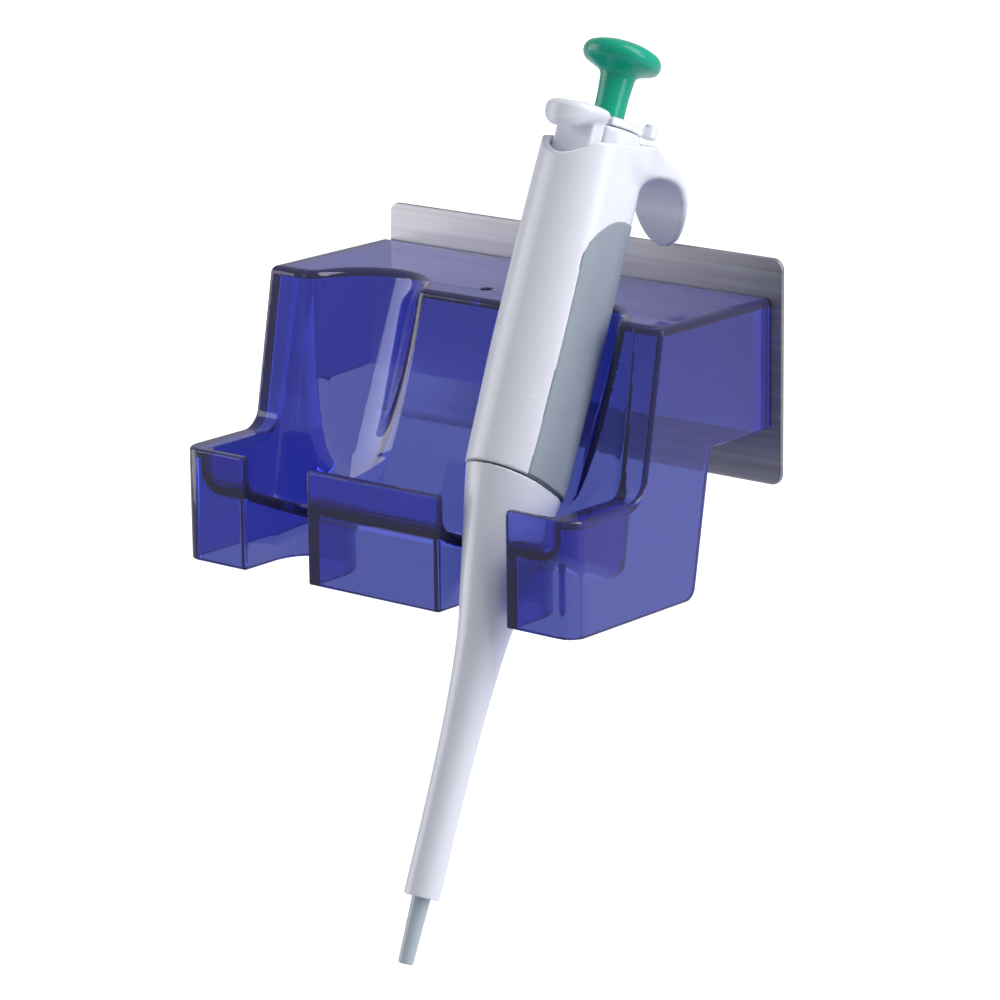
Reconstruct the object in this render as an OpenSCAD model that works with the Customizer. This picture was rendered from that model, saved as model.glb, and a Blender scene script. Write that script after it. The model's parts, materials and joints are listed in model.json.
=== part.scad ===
// Pipette set: a hand pipette standing in a clear two-place holder
// that magnets keep on a steel wall plate.
// Millimetres. Z is up, the front is -Y, the wall is the plane Y = 0.
// X = 0 is the middle of the holder and Z = 0 the middle of the plate.

/* [Wall plate] */
// width of the steel plate
plate_w = 130.4; // [110:0.1:150]
// height of the steel plate
plate_h = 59; // [45:0.5:70]
// thickness of the steel plate
plate_t = 1.2; // [0.8:0.1:3]
// corner radius of the steel plate
plate_r = 3; // [1:0.5:8]
// how far the plate sits to the right of the holder's middle
plate_shift = 3.1; // [-6:0.1:6]
// thickness of the foam tape behind the plate
tape_t = 1; // [0.5:0.1:2]
// tape edge inside the plate edge
tape_inset = 4; // [2:0.5:8]

/* [Holder] */
// width of the holder
holder_w = 130; // [122:0.5:150]
// height of the holder
holder_h = 72; // [68:0.5:84]
// top of the holder above the middle of the plate
holder_top = 19.25; // [10:0.25:24]
// depth of the top face
top_depth = 44.9; // [43:0.1:45]
// depth of the base
base_depth = 80.6; // [77:0.1:86]
// rim height below the top
rim_drop = 42; // [39:0.5:46]
// width of the side rims
rim_w = 7.5; // [6.5:0.1:9]
// wall thickness of the moulding
wall = 2.6; // [1.6:0.1:3]
// lean of the side pillars
pillar_lean = 10.3; // [9:0.1:12]
// lean of the face between the pillars
face_lean = 8.7; // [8:0.1:10]
// face between the pillars behind the pillars, at the top
face_inset = 0.3; // [0.2:0.1:1]
// depth of the step over the lower back
step_depth = 25; // [18:0.5:28]
// height of the step below the top
step_drop = 34; // [28:0.5:38]
// lean of the lower back edge
back_lean = 10.3; // [6:0.1:14]
// radius of the upright front corners
corner_r = 5; // [3:0.5:8]
// tray floor below the top, at the front wall
floor_drop = 51; // [48:0.5:54]
// distance between the two places
bay_pitch = 65.3; // [62:0.1:70]
// width of the slot that takes the lower tube
slot_w = 21.7; // [20.5:0.1:23]
// bottom of the slot in front of the holder's back
slot_back = 57.5; // [56:0.1:58.5]
// diameter of the small hole in the top
top_hole_d = 3; // [2:0.5:5]
// small hole in front of the holder's back
top_hole_y = 34; // [30:0.5:38]
// gap that the magnets bridge between holder and plate
hold_gap = 0.3; // [0.2:0.05:0.6]

/* [Magnets] */
// diameter of a disc magnet
magnet_d = 16; // [10:0.5:20]
// thickness of a disc magnet
magnet_t = 4; // [2:0.5:5]
// middle of a magnet inside the holder's side
magnet_edge = 13; // [11.5:0.5:24]
// thickness of the bar that holds them
bar_t = 5.5; // [5.4:0.1:8]

/* [Pipette place] */
// lean of the pipette towards the wall
pipette_lean = 22.44; // [21.8:0.02:22.8]
// pipette axis in front of the holder's back, at the holder's top
axis_depth = 44.2; // [44:0.1:45]
// nozzle end to the holder's top, along the axis
seat_length = 167; // [166:0.25:171]
// recess surface behind the handle
recess_gap = 0.5; // [0.4:0.05:1.2]
// radius of the hollow that takes the handle
recess_r = 18.4; // [17:0.1:20]
// recess surface behind the ejector sleeve
sleeve_gap = 1.2; // [1.1:0.05:1.5]

/* [Handle] */
// radius of the handle's side and back
handle_r = 12.2; // [11.8:0.05:12.5]
// distance of the front curve before the back curve
lobe = 5; // [4.5:0.1:5.5]
// handle's lower end above the nozzle end
seam_s = 122.3; // [121.5:0.1:124]
// slant of the lower end
seam_slant = 11.9; // [8:0.1:13]
// handle's top rim above the nozzle end
rim_s = 211.3; // [210:0.1:212.5]
// slant of the top rim
rim_slant = 11.6; // [9:0.1:13]
// radius of the round dip in the front of the rim
dip_r = 12; // [11:0.5:14]
// depth of the dip
dip_depth = 3.4; // [2.5:0.1:3.8]
// top of the inner chamber below the rim
deck_drop = 10.3; // [9.5:0.1:12]
// thickness of the deck over the chamber
deck_t = 4; // [2.5:0.5:4.5]
// width of the finger hook
hook_w = 16.8; // [13:0.2:17]
// reach of the finger hook behind the axis
hook_reach = 35.5; // [34:0.25:37]

/* [Grip] */
// front edge of the grip before the axis
grip_front = 10.9; // [8:0.1:12.5]
// top of the grip above the nozzle end
grip_top = 192; // [189:0.5:196]
// depth of the grip's bed in the handle
grip_bed = 1; // [0.6:0.1:1.3]
// grip surface above the handle surface
grip_proud = 0.3; // [0:0.05:0.4]

/* [Plunger] */
// stroke to the first stop
stroke = 9; // [7:0.25:9.2]
// diameter of the green button
button_d = 20.2; // [17:0.1:22]
// radius of the button's stem
stem_r = 4; // [3.2:0.1:4.1]
// radius of the plunger rod
rod_r = 2; // [1.6:0.05:2.2]
// radius of the piston
piston_r = 1.9; // [1.4:0.05:2]
// radial play of sliding and turning fits
fit = 0.05; // [0.03:0.01:0.08]

/* [Ejector] */
// travel of the ejector
eject = 6; // [4:0.25:6.5]
// radius of the thumb pad, seen from above
pad_r = 8.4; // [7.8:0.1:8.8]
// front of the thumb pad before the axis
pad_front = 20.4; // [19.6:0.1:21]
// axis of the ejector rod before the pipette axis
push_y = 10.5; // [10.4:0.05:10.6]
// sleeve's lower end above the nozzle end
sleeve_s = 17; // [14:0.25:19]
// wall of the ejector sleeve
sleeve_t = 1.15; // [0.9:0.05:1.3]

/* [Hidden] */
$fn = 64;

// colours
clear_blue = [0.33, 0.36, 0.70, 0.75];
white = [0.93, 0.93, 0.95];
steel = [0.75, 0.76, 0.78];
grey = [0.58, 0.64, 0.69];
green = [0.12, 0.64, 0.50];
black = [0.15, 0.15, 0.16];

// margin by which a cut runs past the face it opens
over = 1;
// size of a cutting block that takes everything on one side
far = 100;
// clearance between pieces that are put together and stay
seat_gap = 0.1;
// clearance around pieces that pass through a hole
pass_gap = 0.4;

// holder: the back plane, and the inner half widths
back_y = -(tape_t + plate_t + hold_gap);
half_w = holder_w / 2;
tray_half = half_w - rim_w;
bay_x = bay_pitch / 2;
slot_r = slot_w / 2;
pillar_k = tan(pillar_lean);
face_k = tan(face_lean);
floor_k = tan(pipette_lean);
front_in = -base_depth + wall;
recess_shift = recess_r - handle_r - recess_gap;

// pipette: lower tube
sleeve_low = [[sleeve_s, 4.6], [43, 4.65], [68, 5.35], [85, 6.55]];
sleeve_mid_s = 85;
sleeve_mid_r = 6.55;
sleeve_mid_lobe = 0.8;
sleeve_end_s = 127;
sleeve_end_r = 11.75;
sleeve_end_lobe = lobe + seat_gap;
sleeve_k = (sleeve_end_r - sleeve_mid_r) / (sleeve_end_s - sleeve_mid_s);
seam_gap = 0.5;

// pipette: handle sections, height above the nozzle end and radius under the fullest one
swell = 0.9;
handle_l = rim_s - seam_s;
handle_steps = [
    [seam_s - swell * handle_r, swell],
    [seam_s, 0.65 * swell],
    [seam_s + 0.17 * handle_l, 0.33 * swell],
    [seam_s + 0.34 * handle_l, 0],
    [seam_s + 0.6 * handle_l, 0],
    [seam_s + 0.85 * handle_l, 0.22 * swell],
    [rim_s + swell * handle_r, 0.78 * swell]];
chamber_r = 9.6;
chamber_s = seam_s + 0.8 * handle_r;
deck_s = rim_s - deck_drop;
hub_r = 4.9;
hub_bore = 4;
hub_l = 26;
hub_s = chamber_s - hub_l;

grip_round = 13;

// pipette: parts on the axis
flange_t = 2.6;
flange_s = hub_s - flange_t;
flange_r = 4.7;
tube_r = 4;
seal_bore = 3;
seal_s = 86;
bore_s = 36;
piston_s = 47;
head_s = 116;
head_t = 3;
seat_t = 1;
stem_gap = 0.3;
nut_drop = 41;
nut_s = deck_s - nut_drop;
nut_t = 7;
collar_drop = 8.5;
collar_s = nut_s - collar_drop;
collar_r = 4.6;
collar_t = 2;
washer_t = 1.2;
washer_s = collar_s - stroke - washer_t - stem_gap;
washer_bore = 4.1;
return_r = 3.3;
return_wire = 0.45;
return_turns = 7;
blowout_r = 6;
blowout_wire = 0.6;
blowout_turns = 4;
seat_r = blowout_r + over;
ear_w = 3;
spindle_l = 38;
spindle_s = nut_s - 2 * over;
spindle_r = 3.6;
drum_r = 8;
drum_t = 7;
units_s = nut_s + nut_t + 5 * over;
tens_s = units_s + drum_t + over;
cap_s = deck_s + deck_t;
cap_h = 9.2;
cap_top = cap_s + cap_h;
cap_edge = 1.2;
cap_r = 9.4;
cap_flat = 7.2;
lever_s = cap_top + stem_gap;
lever_t = 2.3;
lever_r = 8.8;
lever_from = -46;
lever_sweep = 246;
lever_turn = 38;
lever_w = 2.8;
peg_reach = 11.3;
peg_r = 1.75;
peg_low = lever_s - stem_gap;
peg_h = 3.8;
button_s = cap_s + over;
button_rise = 25.7;
button_top = rim_s + button_rise;
button_t = 5.9;
rod_top = button_top - 2.5 * button_t;
post_y = 7.8;
post_front = 12.4;
post_w = 12;
post_s = deck_s - over;
pad_rise = 6.2;
pad_top = rim_s + pad_rise;
pad_y = pad_front - pad_r;
pad_edge = 1.6;
push_s = chamber_s - 18 * over;
push_collar_s = collar_s + seat_gap;
push_collar_t = 2;
push_r = 1.5;
push_top = post_s + 8 * over;
push_coil_r = 2.15;
push_wire = 0.3;
push_turns = 10;

// pipette: seal and nozzle
seal_t = 2.5;
tip_bore = 0.9;
nut_wall = 1.4;
nut_h = 11;

// finger hook from the side: behind the axis, height, rounding
hook_root = 8;
hook_drop = 19.1;
hook_side = [
    [hook_root, rim_s + 0.1 * hook_drop, 0],
    [0.577 * hook_reach, rim_s + 0.042 * hook_drop, 0.34 * hook_reach],
    [0.817 * hook_reach, rim_s - 0.225 * hook_drop, 0.225 * hook_reach],
    [0.873 * hook_reach, rim_s - 0.592 * hook_drop, 0.225 * hook_reach],
    [hook_reach, rim_s - 0.958 * hook_drop, 0.022 * hook_reach],
    [0.963 * hook_reach, rim_s - hook_drop, 0.014 * hook_reach],
    [0.704 * hook_reach, rim_s - 0.173 * hook_drop, 0.17 * hook_reach],
    [hook_root, rim_s - 0.33 * hook_drop, 0]];

function unit(v) = v / norm(v);
function turn(a) = a > 180 ? a - 360 : (a < -180 ? a + 360 : a);

// points of a corner at p, rounded between its neighbours a and b
function corner(a, p, b, r, n = 6) =
    let (u = unit(a - p), v = unit(b - p), half = acos(u * v) / 2)
    let (c = p + unit(u + v) * (r / sin(half)), p1 = p + u * (r / tan(half)), p2 = p + v * (r / tan(half)))
    let (a1 = atan2(p1[1] - c[1], p1[0] - c[0]), sweep = turn(atan2(p2[1] - c[1], p2[0] - c[0]) - a1))
    r == 0 ? [p] : [for (i = [0:n]) c + r * [cos(a1 + sweep * i / n), sin(a1 + sweep * i / n)]];

// outline from points [x, y, corner radius]
function rounded(pts) =
    let (n = len(pts), xy = [for (p = pts) [p[0], p[1]]])
    [for (i = [0:n - 1]) each corner(xy[(i + n - 1) % n], xy[i], xy[(i + 1) % n], pts[i][2])];

// an outline drawn as [y, z], given the width w along X
module along_x(w) {
    translate([-w / 2, 0, 0])
        rotate([90, 0, 90])
            linear_extrude(w)
                children();
}

module both_places() {
    for (side = [-1, 1])
        translate([side * bay_x, 0, 0])
            children();
}

// from the holder's own axes, back and top at zero, to the shared frame
module in_holder() {
    translate([0, back_y, holder_top])
        children();
}

// from the pipette's own upright axis, nozzle end at zero, to its lean in the right place
module lean() {
    translate([0, -axis_depth, 0])
        rotate([-pipette_lean, 0, 0])
            translate([0, 0, -seat_length])
                children();
}

module in_pipette() {
    in_holder()
        translate([bay_x, 0, 0])
            lean()
                children();
}

module ring(r_out, r_in, s, h) {
    translate([0, 0, s])
        difference() {
            cylinder(r = r_out, h = h);
            translate([0, 0, -over])
                cylinder(r = r_in, h = h + 2 * over);
        }
}

// round wire wound around the axis, its ends at s and s + length
module coil(r, wire, s, length, turns) {
    steps = turns * 8;
    sides = 6;
    rise = length - 2 * wire;
    points = [for (i = [0:steps], k = [0:sides - 1])
        let (a = i * 45, b = k * 360 / sides, q = r + wire * cos(b))
        [q * cos(a), q * sin(a), s + wire + rise * i / steps + wire * sin(b)]];
    skin = [for (i = [0:steps - 1], k = [0:sides - 1])
        let (m = (k + 1) % sides, low = i * sides, high = low + sides)
        each [[low + k, high + k, high + m], [low + k, high + m, low + m]]];
    first = [for (k = [0:sides - 1]) k];
    last = [for (k = [sides - 1:-1:0]) steps * sides + k];
    polyhedron(points, concat(skin, [first, last]));
}

// Wall plate

module wall_tape() {
    color(black)
        translate([plate_shift, -tape_t, 0])
            rotate([-90, 0, 0])
                linear_extrude(tape_t)
                    square([plate_w - 2 * tape_inset, plate_h - 2 * tape_inset], center = true);
}

module steel_plate() {
    across = plate_w / 2 - plate_r;
    up = plate_h / 2 - plate_r;
    color(steel)
        translate([plate_shift, -tape_t - plate_t, 0])
            rotate([-90, 0, 0])
                linear_extrude(plate_t)
                    union() {
                        square([plate_w - 2 * plate_r, plate_h], center = true);
                        square([plate_w, plate_h - 2 * plate_r], center = true);
                        for (x = [-across, across], y = [-up, up])
                            translate([x, y])
                                circle(r = plate_r);
                    }
}

// Holder, drawn with its back at Y = 0 and its top at Z = 0

function pillar_y(z) = -top_depth + pillar_k * z;
function face_y(z) = -top_depth + face_inset + face_k * z;
function floor_z(y) = -floor_drop - floor_k * (y - front_in);

// where the face between the pillars, moved back by g, meets the floor, moved down by g
function valley(g) =
    let (f0 = face_y(0) + g / cos(face_lean), z0 = floor_z(0) - g / cos(pipette_lean))
    let (z = (z0 - floor_k * f0) / (1 + floor_k * face_k))
    [f0 + face_k * z, z];

module side_outline() {
    polygon(rounded([
        [0, 0, 0.6],
        [pillar_y(0), 0, 2],
        [pillar_y(-rim_drop), -rim_drop, 4.5],
        [-base_depth, -rim_drop, 1.2],
        [-base_depth, -holder_h, 0.6],
        [-step_depth - (holder_h - step_drop) * tan(back_lean), -holder_h, 3],
        [-step_depth, -step_drop, 1.5],
        [0, -step_drop, 0.6]]));
}

// inside of the moulding, open at the back and below
module inside_outline() {
    lift = wall / cos(pillar_lean);
    polygon([
        [over, -wall],
        [pillar_y(-wall) + lift, -wall],
        [pillar_y(-rim_drop - wall) + lift, -rim_drop - wall],
        [front_in, -rim_drop - wall],
        [front_in, -holder_h - over],
        [over, -holder_h - over]]);
}

// room over the tray floor and before the face, grown by g into the moulding
module tray_room(g, front) {
    deep = valley(g);
    drop = g / cos(pipette_lean);
    along_x(2 * (tray_half + g))
        polygon([
            [face_y(0) + g / cos(face_lean) + face_k * over, over],
            deep,
            [front, floor_z(front) - drop],
            [front, over]]);
}

// back half of the hollow for a leaning handle, grown by g into the moulding
module recess_room(g) {
    low_s = seam_s - 13;
    low_r = recess_shift + sleeve_mid_r + sleeve_k * (low_s - sleeve_mid_s) + sleeve_gap;
    both_places()
        lean()
            translate([0, -recess_shift, 0])
                rotate_extrude(angle = 180)
                    polygon([
                        [0, low_s - g],
                        [low_r + g, low_s - g],
                        [recess_r + g, seam_s + over],
                        [recess_r + g, seat_length + 3 * recess_r],
                        [0, seat_length + 3 * recess_r]]);
}

// slot for the lower tube, grown by g into the moulding
module slot_room(g, z_top) {
    both_places()
        translate([0, 0, -holder_h - over])
            linear_extrude(holder_h + over + z_top)
                union() {
                    translate([0, -slot_back - slot_r])
                        circle(r = slot_r + g);
                    translate([-slot_r - g, -base_depth - over])
                        square([slot_w + 2 * g, base_depth + over - slot_back - slot_r]);
                }
}

// what lies outside a rounded upright front corner
module corner_waste(r, z) {
    for (side = [-1, 1])
        scale_x(side)
            translate([half_w - (corner_r - r), -base_depth + (corner_r - r), 0])
                difference() {
                    translate([-r, -corner_r, -holder_h - over])
                        cube([r + corner_r, r + corner_r, holder_h + over + z]);
                    translate([-r, r, -holder_h - 2 * over])
                        cylinder(r = r, h = holder_h + 4 * over + z);
                }
}

module scale_x(side) {
    mirror([side < 0 ? 1 : 0, 0, 0])
        children();
}

module holder_shell() {
    color(clear_blue)
        in_holder()
            difference() {
                along_x(holder_w)
                    side_outline();
                corner_waste(corner_r, -rim_drop + over);
                tray_room(0, front_in);
                recess_room(0);
                slot_room(0, -rim_drop + over);
                difference() {
                    along_x(holder_w - 2 * wall)
                        inside_outline();
                    corner_waste(corner_r - wall, -rim_drop - wall);
                    tray_room(wall, -base_depth);
                    recess_room(wall);
                    slot_room(wall, -rim_drop);
                }
                translate([0, -top_hole_y, -wall - over])
                    cylinder(d = top_hole_d, h = wall + 2 * over);
            }
}

magnet_z = -(wall + step_drop) / 2;

module magnet_spots() {
    for (side = [-1, 1])
        translate([side * (half_w - magnet_edge), 0, magnet_z])
            rotate([90, 0, 0])
                children();
}

module magnet_bar() {
    bar_w = holder_w - 2 * wall - 2 * seat_gap;
    bar_h = step_drop - wall - seat_gap;
    color(white)
        in_holder()
            difference() {
                translate([-bar_w / 2, -bar_t, -step_drop])
                    cube([bar_w, bar_t, bar_h]);
                magnet_spots()
                    translate([0, 0, -over])
                        cylinder(d = magnet_d + 2 * seat_gap, h = magnet_t + over - hold_gap);
            }
}

module magnets() {
    color(steel)
        in_holder()
            magnet_spots()
                translate([0, 0, -hold_gap])
                    cylinder(d = magnet_d, h = magnet_t);
}

// Pipette, drawn upright with the nozzle end at Z = 0, its front at -Y

// rounded front and back of the handle, grown by g
module lobes(g) {
    hull()
        for (y = [0, -lobe])
            translate([0, y, 0])
                rotate_extrude($fn = 48)
                    polygon(concat(
                        [[0, handle_steps[0][0]]],
                        [for (p = handle_steps) [handle_r - p[1] + g, p[0]]],
                        [[0, handle_steps[len(handle_steps) - 1][0]]]));
}

// two circles a lobe apart, joined by straight sides
module stadium(r) {
    circle(r = r);
    translate([0, -lobe])
        circle(r = r);
    translate([-r, -lobe])
        square([2 * r, lobe]);
}

// room under the slanted seam, or over it with up = true
module seam_side(up, gap = 0) {
    translate([0, 0, seam_s + gap])
        rotate([-seam_slant, 0, 0])
            translate([-far / 2, -far / 2, up ? 0 : -far])
                cube(far);
}

module rim_side() {
    translate([0, 0, rim_s])
        rotate([rim_slant, 0, 0])
            translate([-far / 2, -far / 2, 0])
                cube(far);
}

// round dip that runs forward along the rim, lifted by the given height
module dip(lift) {
    translate([0, 0, rim_s + lift])
        rotate([rim_slant, 0, 0])
            translate([0, 0, dip_r - dip_depth])
                rotate([90, 0, 0])
                    cylinder(r = dip_r, h = far);
}

// side view of the grip, grown by g
module grip_side(g) {
    along_x(4 * handle_r)
        polygon(rounded([
            [2 * handle_r, seam_s - handle_r, 0],
            [-grip_front - g, seam_s - handle_r, 0],
            [-grip_front - g, grip_top + g, grip_round],
            [2 * handle_r, grip_top + g, 0]]));
}

// opening for the window in the left side, grown by g
module window_room(g) {
    translate([-handle_r - over, -lobe - g, units_s - g])
        cube([handle_r + over - drum_r - pass_gap + g, lobe + 2 * g, 2 * drum_t + over + 2 * g]);
}

// finger hook: its side view, cut to a tongue seen from above and from behind
module hook() {
    half = hook_w / 2;
    wide = handle_r - over;
    low = rim_s - 1.015 * hook_drop;
    neck = rim_s - 0.59 * hook_drop;
    bend = 0.28 * hook_w;
    intersection() {
        along_x(4 * handle_r)
            polygon(rounded(hook_side));
        translate([0, 0, low - over])
            linear_extrude(far)
                polygon(rounded([
                    [-wide, hook_root / 2, 0],
                    [-half - over, 2 * hook_root, hook_root],
                    [-half, 2 * hook_reach, 0],
                    [half, 2 * hook_reach, 0],
                    [half + over, 2 * hook_root, hook_root],
                    [wide, hook_root / 2, 0]]));
        translate([0, 2 * hook_reach, 0])
            rotate([90, 0, 0])
                linear_extrude(far)
                    polygon(rounded([
                        [-2 * half, rim_s + hook_root, 0],
                        [-2 * half, neck + bend, 0],
                        [-half, neck, bend],
                        [-0.42 * half, low, bend],
                        [0.42 * half, low, bend],
                        [half, neck, bend],
                        [2 * half, neck + bend, 0],
                        [2 * half, rim_s + hook_root, 0]]));
    }
}

// handle with the hub that carries the nozzle, its chamber, deck and cap well
module handle_body() {
    color(white)
        in_pipette()
            difference() {
                union() {
                    difference() {
                        union() {
                            lobes(0);
                            hook();
                        }
                        seam_side(false);
                        rim_side();
                        dip(0);
                        difference() {
                            grip_side(seat_gap);
                            lobes(-grip_bed - seat_gap / 2);
                        }
                    }
                    translate([0, 0, hub_s])
                        cylinder(r = hub_r, h = chamber_s - hub_s);
                }
                translate([0, 0, chamber_s])
                    linear_extrude(deck_s - chamber_s)
                        stadium(chamber_r);
                translate([0, 0, cap_s])
                    linear_extrude(far)
                        stadium(chamber_r);
                translate([0, 0, hub_s - over])
                    cylinder(r = hub_bore, h = chamber_s - hub_s + 2 * over);
                translate([0, -push_y, push_s])
                    cylinder(r = push_r + stem_gap, h = chamber_s + over - push_s);
                translate([0, 0, deck_s - over])
                    cylinder(r = stem_r + stem_gap, h = deck_t + 2 * over);
                translate([-post_w / 2 - pass_gap, -post_front - pass_gap, deck_s - over])
                    cube([post_w + 2 * pass_gap, post_front - post_y + 2 * pass_gap, deck_t + 2 * over]);
                window_room(seat_gap);
            }
}

module grip_insert() {
    color(grey)
        in_pipette()
            difference() {
                intersection() {
                    lobes(grip_proud);
                    grip_side(0);
                }
                lobes(-grip_bed);
                seam_side(false, 2 * seat_gap);
                window_room(seat_gap);
            }
}

module top_cap() {
    color(white)
        in_pipette()
            difference() {
                rotate_extrude()
                    polygon([
                        [stem_r + stem_gap, cap_s],
                        [cap_r, cap_s],
                        [cap_r, cap_top - cap_edge],
                        [cap_r - cap_edge, cap_top],
                        [stem_r + stem_gap, cap_top]]);
                translate([-far / 2, -far - cap_flat, cap_s - over])
                    cube(far);
            }
}

module volume_window() {
    color([0.85, 0.9, 0.95, 0.5])
        in_pipette()
            intersection() {
                window_room(0);
                translate([0, 0, units_s - over])
                    linear_extrude(2 * drum_t + 4 * over)
                        stadium(handle_r);
            }
}

// ring on the cap, wide where the post of the thumb pad leaves room, with a peg at its edge
module lock_lever() {
    color(white)
        in_pipette()
            difference() {
                union() {
                    translate([0, 0, lever_s])
                        cylinder(r = cap_flat, h = lever_t);
                    translate([0, 0, lever_s])
                        rotate([0, 0, lever_from])
                            rotate_extrude(angle = lever_sweep)
                                square([lever_r, lever_t]);
                    rotate([0, 0, lever_turn])
                        translate([0, -lever_w / 2, lever_s])
                            cube([peg_reach, lever_w, lever_t]);
                    rotate([0, 0, lever_turn])
                        translate([peg_reach, 0, peg_low])
                            cylinder(r = peg_r, h = peg_h);
                }
                translate([0, 0, lever_s - over])
                    cylinder(r = stem_r + stem_gap + over, h = lever_t + 2 * over);
            }
}

module push_button() {
    r = button_d / 2;
    color(green)
        in_pipette()
            difference() {
                rotate_extrude()
                    polygon(rounded([
                        [0, button_s, 0],
                        [stem_r, button_s, 0],
                        [stem_r, button_top - 1.5 * button_t, 0.75 * stem_r],
                        [r, button_top - 0.92 * button_t, 0.38 * button_t],
                        [r, button_top - 0.36 * button_t, 0.3 * button_t],
                        [0.66 * r, button_top - 0.02 * button_t, 0.35 * r],
                        [0, button_top, 0]]));
                translate([0, 0, button_s - over])
                    cylinder(r = rod_r, h = rod_top - button_s + over);
            }
}

module plunger_rod() {
    color(steel)
        in_pipette()
            union() {
                translate([0, 0, head_s + head_t])
                    cylinder(r = rod_r, h = rod_top - head_s - head_t);
                translate([0, 0, collar_s])
                    cylinder(r = collar_r, h = collar_t);
            }
}

module volume_spindle() {
    color(steel)
        in_pipette()
            ring(spindle_r, rod_r + fit, spindle_s, spindle_l);
}

module counter_units() {
    color(white)
        in_pipette()
            ring(drum_r, spindle_r, units_s, drum_t);
}

module counter_tens() {
    color(white)
        in_pipette()
            ring(drum_r, spindle_r + fit, tens_s, drum_t);
}

// nut fixed in the chamber, its two ears against the side walls
module stop_nut() {
    color(grey)
        in_pipette()
            difference() {
                translate([0, 0, nut_s]) {
                    cylinder(r = drum_r, h = nut_t);
                    translate([-chamber_r, -ear_w, 0])
                        cube([2 * chamber_r, ear_w, nut_t]);
                }
                translate([0, 0, nut_s - over])
                    cylinder(r = spindle_r + fit, h = nut_t + 2 * over);
            }
}

module return_spring() {
    color(steel)
        in_pipette()
            coil(return_r, return_wire, chamber_s + seat_t, collar_s - chamber_s - seat_t, return_turns);
}

module spring_seat() {
    color(steel)
        in_pipette()
            ring(seat_r, rod_r + pass_gap, chamber_s, seat_t);
}

module blowout_spring() {
    color(steel)
        in_pipette()
            coil(blowout_r, blowout_wire, chamber_s + seat_t, washer_s - chamber_s - seat_t, blowout_turns);
}

module stop_washer() {
    color(steel)
        in_pipette()
            ring(seat_r, washer_bore, washer_s, washer_t);
}

module piston() {
    color(steel)
        in_pipette() {
            translate([0, 0, piston_s])
                cylinder(r = piston_r, h = head_s - piston_s);
            translate([0, 0, head_s])
                cylinder(r = hub_bore - pass_gap, h = head_t);
        }
}

module piston_seal() {
    color(white)
        in_pipette()
            ring(seal_bore, piston_r + fit, seal_s, seal_t);
}

module seal_ring() {
    thick = (seal_bore - piston_r - fit) / 2;
    color(black)
        in_pipette()
            translate([0, 0, seal_s + seal_t + thick])
                rotate_extrude()
                    translate([piston_r + fit + thick, 0])
                        circle(r = thick, $fn = 32);
}

module seal_bush() {
    low = seal_s + seal_t + (seal_bore - piston_r - fit);
    color(grey)
        in_pipette()
            ring(seal_bore, piston_r + stem_gap, low, hub_s - 2 * seat_gap - low);
}

module nozzle() {
    color([0.77, 0.83, 0.86])
        in_pipette()
            difference() {
                rotate_extrude()
                    polygon([
                        [0, 0],
                        [1.95, 0],
                        [2.4, sleeve_s],
                        [2.8, 30],
                        [3.1, 66],
                        [3.1, 74],
                        [tube_r, 77],
                        [tube_r, flange_s],
                        [flange_r, flange_s],
                        [flange_r, hub_s],
                        [0, hub_s]]);
                translate([0, 0, -over])
                    cylinder(r = tip_bore, h = bore_s + 2 * over);
                translate([0, 0, bore_s])
                    cylinder(r = piston_r + fit, h = hub_s);
                translate([0, 0, seal_s])
                    cylinder(r = seal_bore, h = hub_s);
            }
}

module barrel_nut() {
    low = flange_s - washer_t;
    color(grey)
        in_pipette()
            difference() {
                translate([0, 0, low])
                    cylinder(r = hub_r + nut_wall, h = nut_h);
                translate([0, 0, low - over])
                    cylinder(r = tube_r + seat_gap, h = nut_h + over);
                translate([0, 0, flange_s])
                    cylinder(r = hub_r + fit, h = nut_h + over);
            }
}

// thumb pad, round from above and with the underside of the rim's dip, on the post that pushes the rod
module ejector_button() {
    color(white)
        in_pipette()
            difference() {
                union() {
                    translate([-post_w / 2, -post_front, post_s])
                        cube([post_w, post_front - post_y, pad_top - 2 * over - post_s]);
                    intersection() {
                        along_x(2 * far)
                            polygon(rounded([
                                [-post_y, post_s, 0],
                                [-post_y, pad_top, pad_edge / 2],
                                [-pad_front, pad_top, pad_edge],
                                [-pad_front, post_s, 0]]));
                        dip(eject + seam_gap);
                        translate([0, -pad_y, post_s])
                            cylinder(r = pad_r, h = far);
                    }
                }
                translate([0, -push_y, post_s - over])
                    cylinder(r = push_r, h = push_top - post_s + 2 * over);
            }
}

module ejector_rod() {
    color(steel)
        in_pipette()
            translate([0, -push_y, 0]) {
                translate([0, 0, push_s])
                    cylinder(r = push_r, h = push_top - push_s);
                translate([0, 0, push_collar_s])
                    cylinder(r = push_r + 1.1, h = push_collar_t);
            }
}

module ejector_spring() {
    color(steel)
        in_pipette()
            translate([0, -push_y, 0])
                coil(push_coil_r, push_wire, chamber_s, push_collar_s - chamber_s, push_turns);
}

// tapered tube, round below and long round above, moved in by g
module sleeve_skin(g) {
    thin = 0.01;
    rotate_extrude()
        polygon(concat(
            [[0, sleeve_low[0][0] - g]],
            [for (i = [0:3]) [sleeve_low[i][1] - g, sleeve_low[i][0] - (i == 0 ? g : 0)]],
            [[0, sleeve_mid_s]]));
    hull() {
        for (y = [0, -sleeve_mid_lobe])
            translate([0, y, sleeve_mid_s])
                cylinder(r = sleeve_mid_r - g, h = thin);
        for (y = [0, -sleeve_end_lobe])
            translate([0, y, sleeve_end_s])
                cylinder(r = sleeve_end_r - g, h = thin);
    }
}

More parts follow.
